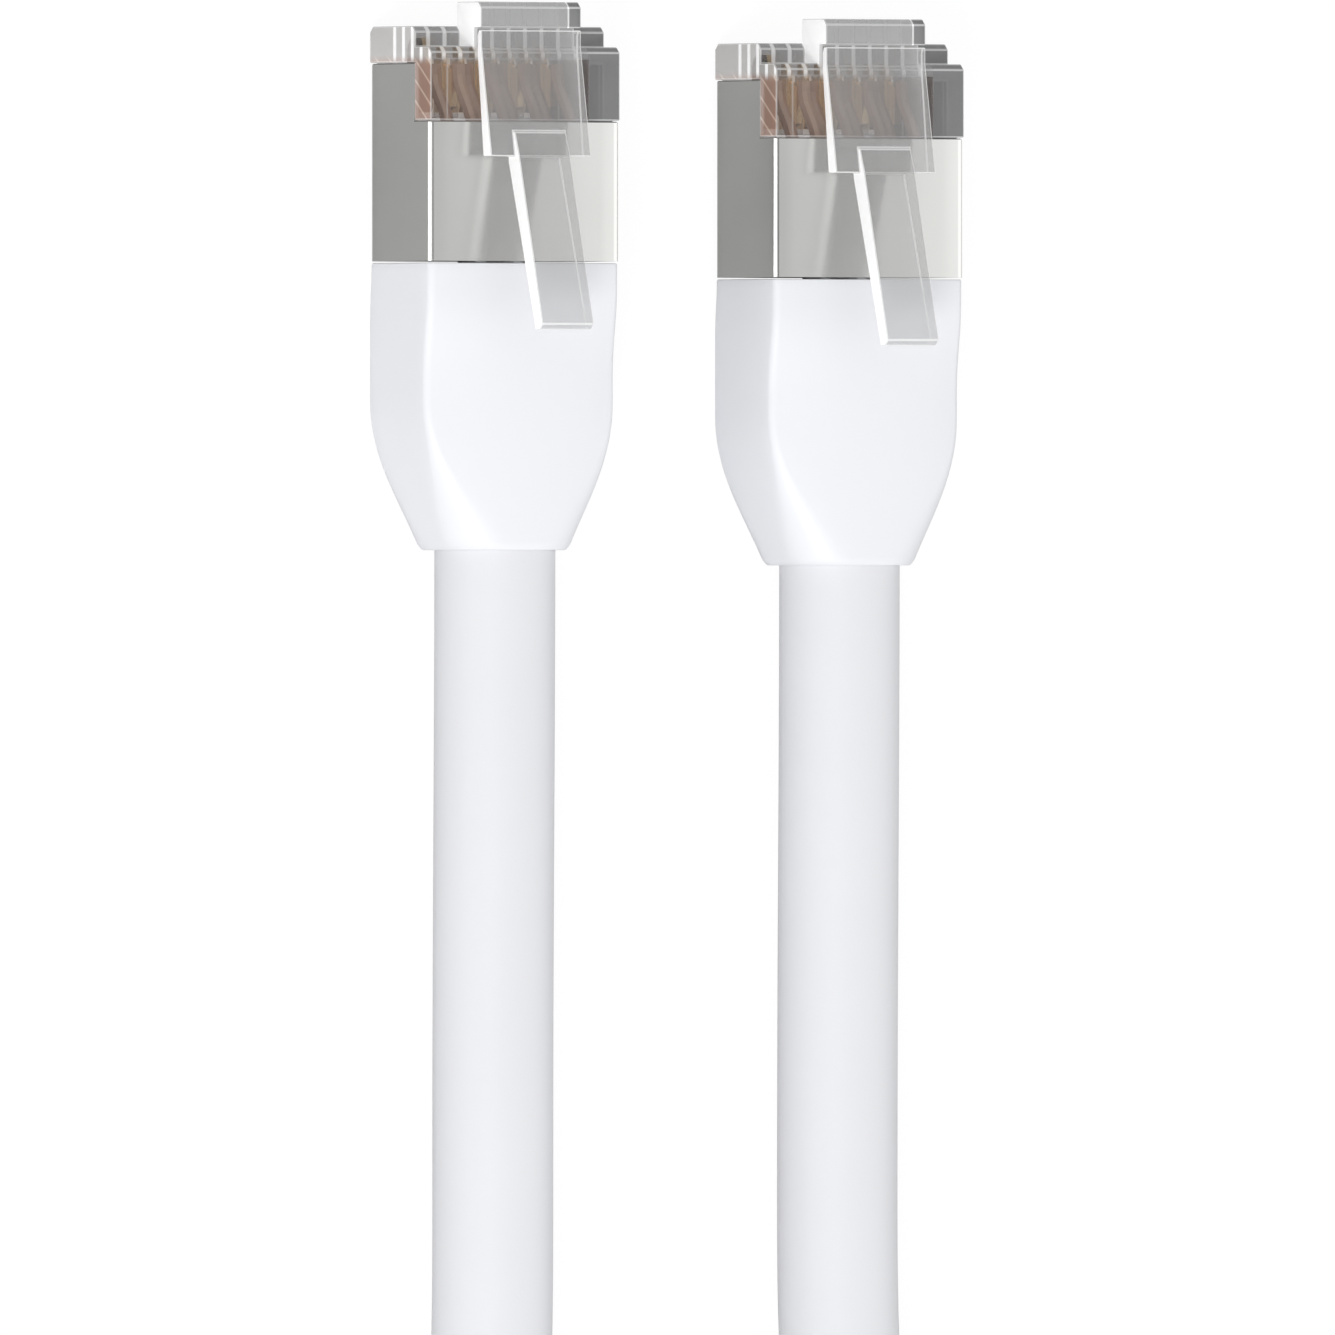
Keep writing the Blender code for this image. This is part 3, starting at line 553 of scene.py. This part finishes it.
# ---- Shells -------------------------------------------------------------------------------------
# Sheet brass, folded round the housing and nickel plated. The front edge steps back at the
# latch side for the window, and on the contact side to leave the blades open.

SHELL_HALF = 5.85 * MM
SHEET = 0.25 * MM
FOLD_TIGHT = 0.12 * MM
FOLD_FLAT = 1.05 * MM
LEFT_FOLD_FLAT = math.radians(38)
RIGHT_FOLD_FLAT = math.radians(75)
SHELL_FRONT = 3.3 * MM
WINDOW_BACK = 6.4 * MM
CONTACT_WINDOW_BACK = 8.0 * MM
SHELL_BACK = 13.9 * MM
SHELL_TURN_IN = 0.6 * MM
WINDOW_SILL = 1.5 * MM
CONTACT_WINDOW_HALF = 4.65 * MM
CROWN_START = 2.2 * MM
SHELL_EDGE = 0.05 * MM
STEP_GAP = 0.001 * MM
FOLD_SPREAD = math.radians(7)
PLATE_SHADES = (0.60, 0.60, 0.585), (0.66, 0.66, 0.645)


def plate_finish():
    """Nickel plate on rolled sheet: a soft blur along the rolling, and faint clouding."""
    finish = Finish("nickel_plate", {"Metallic": 1.0})
    rolled = finish.noise(900.0, (1.0, 0.06, 1.0), 3.0)
    mottle_and_painted_light = finish.noise(160.0)
    finish.colours(mottle_and_painted_light, *PLATE_SHADES)
    finish.feed("Roughness", 0.17 + 0.06 * rolled + 0.04 * mottle_and_painted_light)
    finish.bump(rolled, 0.05, 0.00001)
    return finish.material


plate = plate_finish()


def shell_front(ring):
    """The station of the front edge at each point of the outline."""
    front = np.full(len(ring), SHELL_FRONT)
    front[ring[:, 1] > WINDOW_SILL] = WINDOW_BACK
    underside = ring[:, 1] < -SHELL_MIDDLE + SHEET * 1.5
    front[underside & (np.abs(ring[:, 0]) < CONTACT_WINDOW_HALF)] = CONTACT_WINDOW_BACK
    return front


def fold_corner(inset, flat_turn, steps=18):
    """A quarter fold, walked by its turning angle: tight, then nearly flat for a while, then tight.

    Each step goes on by the local radius times the turn. It starts along the side wall.
    """
    turn = (np.arange(steps) + 0.5) * math.pi / 2 / steps
    radius = FOLD_TIGHT + FOLD_FLAT * np.exp(-(((turn - flat_turn) / FOLD_SPREAD) ** 2))
    move = np.stack([-np.sin(turn), np.cos(turn)], 1) * (radius * math.pi / 2 / steps)[:, None]
    walk = np.vstack([[(0.0, 0.0)], np.cumsum(move, 0)])
    shrink = max(0.25, 1 - inset / (0.4 * MM))
    return walk * shrink


def shell_outline(inset):
    """The folded tube's outline, with a pair of close points at each step of the front edge."""
    half, high = SHELL_HALF - inset, SHELL_MIDDLE - inset
    left_fold, right_fold = fold_corner(inset, LEFT_FOLD_FLAT), fold_corner(inset, RIGHT_FOLD_FLAT)
    step = np.array([-STEP_GAP, STEP_GAP])
    low_heights = [-high + 0.6 * MM, -1.0 * MM, 0.8 * MM]
    heights = np.concatenate([low_heights, WINDOW_SILL + step, [CROWN_START]])
    right = np.stack([np.full_like(heights, half), heights], 1)
    left = (right * (-1, 1))[::-1]

    def corner(fold, sign, top):
        """A fold set in one corner, from its side wall to the top or the bottom."""
        placed = (fold + (half, high - fold[-1, 1])) * (sign, top)
        if top > 0:
            placed[:, 1] -= TOP_CROWN * ease((placed[:, 1] - CROWN_START) / (high - CROWN_START))
        return placed

    top_right, top_left = corner(right_fold, 1, 1), corner(left_fold, -1, 1)
    x = np.linspace(top_right[-1, 0], top_left[-1, 0], 25)[1:-1]
    top = np.stack([x, high - TOP_CROWN * (x / half) ** 2], 1)
    low_left, low_right = corner(left_fold, -1, -1), corner(left_fold, 1, -1)
    lip = CONTACT_WINDOW_HALF + step
    x = np.concatenate([-lip[::-1], np.linspace(-3.0, 3.0, 5) * MM, lip])
    bottom = np.stack([x, np.full_like(x, -high)], 1)
    top_left, low_right = top_left[::-1], low_right[::-1]
    return np.vstack([right, top_right, top, top_left, left, low_left, bottom, low_right])


def make_shell(end):
    """Outer and inner walls, joined at the front edge and turned in at the back."""
    x, nose, low = plug_frame(end)
    outer, inner = shell_outline(0.0), shell_outline(SHEET)
    front = shell_front(outer)
    deep = shell_outline(SHELL_TURN_IN)
    rows = [
        (front + SHELL_EDGE, outer),
        (np.full_like(front, SHELL_BACK), outer),
        (np.full_like(front, SHELL_BACK), deep),
        (np.full_like(front, SHELL_BACK - SHEET), deep),
        (np.full_like(front, SHELL_BACK - SHEET), inner),
        (front + SHELL_EDGE, inner),
        (front, inner + (outer - inner) * 0.25),
        (front, inner + (outer - inner) * 0.75),
    ]
    grid = np.array([
        np.stack([x + ring[:, 0], nose - s, low + SHELL_MIDDLE + ring[:, 1]], 1) for s, ring in rows
    ])
    shell = skin(f"folded_shell_{end}", grid, plate, along=True)
    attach(shell, "root")
    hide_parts(f"shield_shell_{end}")


for end in "ab":
    make_shell(end)

# ---- Clear housings and latches -----------------------------------------------------------------
# Clear polycarbonate, moulded in one shot with polished tool faces. The latch is the springy
# arm that bends where it leaves the nose.

CLEAR_EDGE = 0.07 * MM
# The emission makes the faces painted white as highlights glow a little: painted light.
CLEAR_PLASTIC = {"Roughness": 0.08, "Emission Strength": 0.25}
# Painted shade grey for the latch, and a painted lighter grey for its plate over the body.
LATCH_SHADED_GREY = (0.42, 0.42, 0.42)
LATCH_LIT_GREY = (0.8, 0.8, 0.8)
# Painted shade grey for the housing.
BODY_SHADED_GREY = (0.185, 0.185, 0.19)
# A painted brown cast of the copper, on the walls over the wires.
BODY_COPPER_CAST = (0.32, 0.26, 0.235)
# Painted light on the left wall: light grey over the comb, copper over the wires with painted
# glints.
COMB_WALL_LIT = (0.66, 0.64, 0.63)
WIRE_WALL = (0.6, 0.38, 0.3)
WIRE_GLINT = (1.0, 0.75, 0.62)
LEDGE_HEIGHT = 2.7 * MM
LEDGE_PITCH = 0.95 * MM
CONTACT_PITCH = 1.02 * MM
TOOTH_OFFSET = 0.2 * MM
GLINT_PITCH = 1.1 * MM

# Where a look sets in and where it is full, from the plug's middle, nose or underside.
PLATE_PAST_BODY = (6.3 * MM, 6.5 * MM)
PLATE_RIGHT = (1.2 * MM, 3.0 * MM)
LEFT_WALL = (-5.2 * MM, -5.4 * MM)
# The housing's thick right end, painted dark as shade.
SHADED_END_RIGHT = (3.8 * MM, 4.0 * MM)
OVER_WIRES = (2.8 * MM, 3.4 * MM)
LEDGES = (2.3 * MM, 2.4 * MM)
COMB_TOP = (4.0 * MM, 4.2 * MM)
ROOT_BLOCK = (6.6 * MM, 6.9 * MM)
# A painted highlight line on the root block, then its painted dark end.
ROOT_HIGHLIGHT = (2.22 * MM, 2.3 * MM)
ROOT_SHADE = (2.32 * MM, 2.4 * MM)


def face_mark(finish, name):
    """A mark that the mesh's faces carry: left is 1 on walls to the left, edge on rounded edges."""
    return finish.node("ShaderNodeAttribute", {"attribute_name": name}, output="Fac")


def paint_highlight(finish, painted_highlight, shade):
    """Paint the plastic white, with a faint glow, as a painted highlight where light would fall on
    it.
    """
    finish.feed("Base Color", finish.mix(painted_highlight, shade, WHITE))
    finish.feed("Emission Color", finish.mix(painted_highlight, BLACK, WHITE))


def latch_finish(end):
    """Clear polycarbonate in thin layers: each wall lays a soft grey over what is behind it, as
    painted shade.

    The walls that face left and the rounded edges are painted white with a faint glow, as painted
    highlights. The plate is painted lighter and less clear over the body than over the shell, and
    most of all on its right, as painted light.
    """
    x, nose, _ = plug_frame(end)
    finish = Finish(f"clear_latch_{end}", CLEAR_PLASTIC)
    place = finish.node("ShaderNodeTexCoord", output="Object")
    right = finish.part(place, "X") - float(x)
    along = float(nose) - finish.part(place, "Y")
    # Painted highlight: the walls that face left and the rounded edges are white and glow.
    painted_highlight = finish.math("MAXIMUM", face_mark(finish, "left"), 0.65 * face_mark(finish, "edge"))
    # Painted light: the plate is lighter and less clear over the body, most of all on its right.
    front = 1 - finish.smooth(along, *PLATE_PAST_BODY)
    mottle_and_painted_light = 0.06 * front + 0.5 * front * finish.smooth(right, *PLATE_RIGHT)
    paint_highlight(finish, painted_highlight, finish.mix(mottle_and_painted_light, LATCH_SHADED_GREY, LATCH_LIT_GREY))
    finish.feed("Alpha", 0.28 + 0.1 * mottle_and_painted_light + 0.6 * painted_highlight)
    finish.bump(finish.noise(420.0), 0.02, 0.00002)
    return finish.material


def housing_finish(end):
    """The same plastic in the housing, with painted shade: dense dark grey at its thick ends, thin
    over the wires.

    The thin walls over the wires carry a painted brown cast of the copper. The left wall is painted
    lit: light grey, copper with painted glints over the wires, and painted white highlight lines
    where the moulded ledges lie behind it. The comb's top carries painted white highlight stripes
    where the walls between contacts lie, and the root block a painted highlight line.
    """
    x, nose, low = plug_frame(end)
    finish = Finish(f"clear_housing_{end}", CLEAR_PLASTIC)
    place = finish.node("ShaderNodeTexCoord", output="Object")
    right = finish.part(place, "X") - float(x)
    along = float(nose) - finish.part(place, "Y")
    height = finish.part(place, "Z") - float(low)

    outer = finish.smooth(right, *LEFT_WALL)
    wired = finish.smooth(along, *OVER_WIRES)
    # Painted shade: the thick right end is a dense dark grey.
    shaded_end = finish.smooth(right, *SHADED_END_RIGHT)
    root = finish.smooth(height, *ROOT_BLOCK)
    # Painted shade: the root block's right end is a dense dark grey.
    root_shade = root * finish.smooth(right, *ROOT_SHADE)
    # Painted highlight: a bright line on the root block just before its dark end.
    root_highlight = root * finish.smooth(right, *ROOT_HIGHLIGHT) * (1 - root_shade)
    side = face_mark(finish, "left") * (1 - shaded_end)

    # Painted highlights: white lines on the left wall where the moulded ledges lie behind it.
    ledges = height - LEDGE_HEIGHT + LEDGE_PITCH / 4
    ledges = finish.smooth(finish.waves(ledges, LEDGE_PITCH), 0.2, 0.8)
    ledges = ledges * finish.smooth(height, *LEDGES) * (1 - wired)
    # Painted highlights: white stripes on the comb's top at the contact pitch.
    teeth = finish.smooth(finish.waves(right + TOOTH_OFFSET, CONTACT_PITCH), 0.5, 0.9)
    teeth = teeth * (1 - wired) * (1 - shaded_end) * (1 - root)
    teeth = teeth * finish.smooth(height, *COMB_TOP) * (1 - side)
    # Painted glints: bright slanted arcs on the copper seen in the left wall.
    glints = finish.smooth(finish.waves(along - 0.8 * height, GLINT_PITCH), 0.8, 0.98)

    # The left wall painted lit: light grey over the comb, copper with painted glints over the
    # wires.
    wall = finish.mix(wired, COMB_WALL_LIT, finish.mix(glints, WIRE_WALL, WIRE_GLINT))
    # Painted shade grey, with a painted brown cast of the copper over the wires.
    shade = finish.mix((1 - shaded_end) * wired, BODY_SHADED_GREY, BODY_COPPER_CAST)
    # All painted highlights: left walls, ledge lines, comb stripes, rounded edges and the root
    # line.
    painted_highlight = side * (1 - outer) + side * outer * ledges + 0.6 * teeth
    painted_highlight = finish.math("MAXIMUM", painted_highlight, 0.4 * face_mark(finish, "edge") + 0.7 * root_highlight)
    paint_highlight(finish, painted_highlight, finish.mix(side * outer, shade, wall))
    clear = 0.44 - 0.2 * wired + (0.3 + 0.28 * wired) * shaded_end + 0.02 * root + 0.45 * root_shade
    clear = clear + 0.3 * side * outer
    finish.feed("Alpha", clear + (0.92 - clear) * painted_highlight)
    return finish.material


def eased_copy(node, finish):
    """A copy of a CAD node with its flat faces merged and its edges rounded.

    Its faces are marked where they are a rounded edge, and where they are on the left.
    """
    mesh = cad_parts[node].data.copy()
    shape = bmesh.new()
    shape.from_mesh(mesh)
    bmesh.ops.remove_doubles(shape, verts=shape.verts, dist=1e-6)
    bmesh.ops.dissolve_limit(
        shape, angle_limit=math.radians(1), verts=shape.verts, edges=shape.edges
    )
    shape.to_mesh(mesh)
    shape.free()
    mesh.materials.clear()
    mesh.materials.append(finish)
    mesh.materials.append(finish)  # a second slot, to tell the faces that the bevel adds
    mesh.shade_smooth()
    rough = bpy.data.objects.new("rough", mesh)
    bpy.context.collection.objects.link(rough)
    bevel = rough.modifiers.new("edges", "BEVEL")
    bevel.width = CLEAR_EDGE
    bevel.segments = 3
    bevel.limit_method = "ANGLE"
    bevel.angle_limit = math.radians(30)
    bevel.harden_normals = True
    bevel.material = 1
    seen = rough.evaluated_get(bpy.context.evaluated_depsgraph_get())
    eased = bpy.data.meshes.new_from_object(seen)
    bpy.data.objects.remove(rough)
    slots = np.zeros(len(eased.polygons), np.int32)
    eased.polygons.foreach_get("material_index", slots)
    edge = eased.attributes.new("edge", "FLOAT", "FACE")
    edge.data.foreach_set("value", slots.astype(np.float32))
    normals = np.zeros(len(eased.polygons) * 3, np.float32)
    eased.polygons.foreach_get("normal", normals)
    left = eased.attributes.new("left", "FLOAT", "FACE")
    left.data.foreach_set("value", ease((-normals[::3] - 0.6) / 0.35).astype(np.float32))
    eased.polygons.foreach_set("material_index", np.zeros_like(slots))
    eased.materials.pop()
    piece = bpy.data.objects.new(f"clear_{node}", eased)
    bpy.context.collection.objects.link(piece)
    return piece


for end in "ab":
    clear_body = housing_finish(end)
    for node, body, finish in (
        ("plug_housing", "root", clear_body),
        ("latch", f"latch_{end}", latch_finish(end)),
        ("wire_guide", "root", clear_body),
    ):
        piece = eased_copy(f"{node}_{end}", finish)
        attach(piece, body)
        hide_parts(f"{node}_{end}")

# ---- Contacts, conductors and what lies inside the boots ---------------------------------------
# Stamped phosphor-bronze blades under gold, and eight drawn copper conductors that they bite.
# The rest is the cable's screen, wrap and crimp, out of sight behind them.


def metal_finish(name, dark, light, roughness, metallic=1.0):
    """Drawn or plated metal: fine lines and a slight change of colour."""
    finish = Finish(name, {"Metallic": metallic})
    drawn = finish.noise(1500.0, (1.0, 0.08, 1.0), 3.0)
    finish.colours(drawn, dark, light)
    finish.feed("Roughness", roughness - 0.05 + 0.1 * drawn)
    finish.bump(drawn, 0.08, 0.00001)
    return finish.material


gold = metal_finish("gold_plate", (0.85, 0.58, 0.30), (0.95, 0.72, 0.42), roughness=0.22)
copper = metal_finish("copper", (0.88, 0.6, 0.45), (1.0, 0.78, 0.62), roughness=0.25, metallic=0.6)
foil = metal_finish("foil_wrap", (0.68, 0.69, 0.71), (0.8, 0.8, 0.82), roughness=0.3)
braid = metal_finish("tinned_braid", (0.5, 0.5, 0.5), (0.72, 0.72, 0.72), roughness=0.4)


def finish_node(node, finish):
    """Give a CAD node its better material."""
    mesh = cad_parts[node].data
    mesh.materials.clear()
    mesh.materials.append(finish)


for end in "ab":
    for k in range(1, 9):
        finish_node(f"contact_{k}_{end}", gold)
        finish_node(f"conductor_{k}_{end}", copper)
    finish_node(f"crimp_ferrule_{end}", plate)
    finish_node(f"wire_bundle_{end}", foil)
    finish_node(f"braid_{end}", braid)
    finish_node(f"jacket_end_{end}", jacket)

# ---- Studio -------------------------------------------------------------------------------------
# A plain pale floor that runs out of the view and throws back only part of the light. The sky is
# soft: brighter on the right, darker round the camera, with a small card low on the left. One
# soft light stands high on the left.

FLOOR_REACH = 3.0
FLOOR_DROP = 0.02 * MM
SKY = 0.6
CAMERA_WAY = (math.sin(CAMERA_TURN), 0.0, math.cos(CAMERA_TURN))
CAMERA_SHADE = 0.5
SIDE_PANEL = 1.05
SIDE_PANEL_WAY = (0.82, 0.0, 0.57)
LEFT_CARD = 3.5
LEFT_CARD_WAY = (-0.966, 0.0, 0.259)
SKY_PATCH_ANGLES = {"camera": (12, 24), "right": (12, 32), "left": (9, 12)}
KEY_PLACE = (-0.6, -0.45, 0.78)
KEY_SIZE = 0.3
KEY_POWER = 5.2
PAPER_SHADES = (0.56, 0.56, 0.56), (0.6, 0.6, 0.6)
PAPER_SEEN = (0.08, 0.08, 0.08)
PAPER_GLOW = (0.93, 0.93, 0.93)


def floor_finish():
    """Pale paper: near white to the eye, and a mid grey in what the object reflects."""
    finish = Finish("floor", {"Roughness": 0.9, "Emission Strength": 1.0})
    seen = finish.node("ShaderNodeLightPath", output="Is Camera Ray")
    paper = finish.noise(400.0)
    finish.feed("Base Color", finish.mix(seen, finish.mix(paper, *PAPER_SHADES), PAPER_SEEN))
    finish.feed("Emission Color", finish.mix(seen, BLACK, PAPER_GLOW))
    return finish.material


corners = FLOOR_REACH * np.array([(-1, -1, 0), (1, -1, 0), (1, 1, 0), (-1, 1, 0)])
floor_mesh = bpy.data.meshes.new("floor")
floor_mesh.from_pydata(corners - (0.0, 0.0, FLOOR_DROP), [], [(0, 1, 2, 3)])
floor_mesh.materials.append(floor_finish())
floor = bpy.data.objects.new("floor", floor_mesh)
bpy.context.collection.objects.link(floor)

world = bpy.data.worlds.new("sky")
world.use_nodes = True
sky = Graph(world.node_tree)
way = sky.node("ShaderNodeTexCoord", output="Generated")


def patch(aim, core, rim):
    """A round patch of sky about a direction: 1 within the core's angle and 0 beyond the rim's."""
    facing = sky.node(
        "ShaderNodeVectorMath", {"operation": "DOT_PRODUCT"}, {0: way, 1: aim}, "Value"
    )
    return sky.smooth(facing, math.cos(math.radians(rim)), math.cos(math.radians(core)))


def narrow(start, end):
    """1 across the middle of the sky, and 0 further to the front and back than an end."""
    return 1 - sky.smooth(sky.math("ABSOLUTE", sky.part(way, "Y")), start, end)


panel = patch(SIDE_PANEL_WAY, *SKY_PATCH_ANGLES["right"]) * narrow(0.15, 0.3)
card = patch(LEFT_CARD_WAY, *SKY_PATCH_ANGLES["left"]) * narrow(0.06, 0.1)
camera_shade = patch(CAMERA_WAY, *SKY_PATCH_ANGLES["camera"])
strength = SKY + SIDE_PANEL * panel + LEFT_CARD * card - CAMERA_SHADE * camera_shade
background = world.node_tree.nodes["Background"]
background.inputs["Color"].default_value = (*WHITE, 1.0)
world.node_tree.links.new(strength.socket, background.inputs["Strength"])
bpy.context.scene.world = world

key_light = bpy.data.lights.new("key", "AREA")
key_light.size = KEY_SIZE
key_light.energy = KEY_POWER
key = bpy.data.objects.new("key", key_light)
key.location = KEY_PLACE
key.rotation_euler = (Vector(KEY_PLACE) - Vector(SEEN_MIDDLE)).to_track_quat("Z", "Y").to_euler()
bpy.context.collection.objects.link(key)
